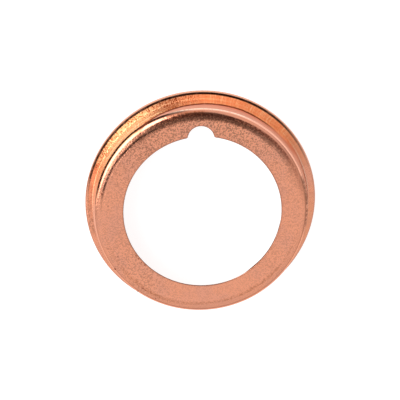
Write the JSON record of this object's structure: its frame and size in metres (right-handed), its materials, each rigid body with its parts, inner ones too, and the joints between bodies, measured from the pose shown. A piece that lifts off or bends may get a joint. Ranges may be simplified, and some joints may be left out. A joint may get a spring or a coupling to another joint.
{
  "type": "copper crush washer",
  "caption": "Folded copper sealing washer for a drain plug: a shallow stamped cup with a notched bore and a rolled rim that crushes to seal.",
  "frame": {"origin": "centre of the back face, on the bore's axis, where the folded ring rests", "axes": "+Z along the bore from the back ring to the flat face, -Y towards the notch"},
  "size_m": [0.018, 0.018, 0.0029],
  "materials": {
    "copper": "annealed copper sheet, satin, with fine grain and a few pits"
  },
  "bodies": {
    "root": {"crush_washer": "copper"}
  },
  "joints": []
}
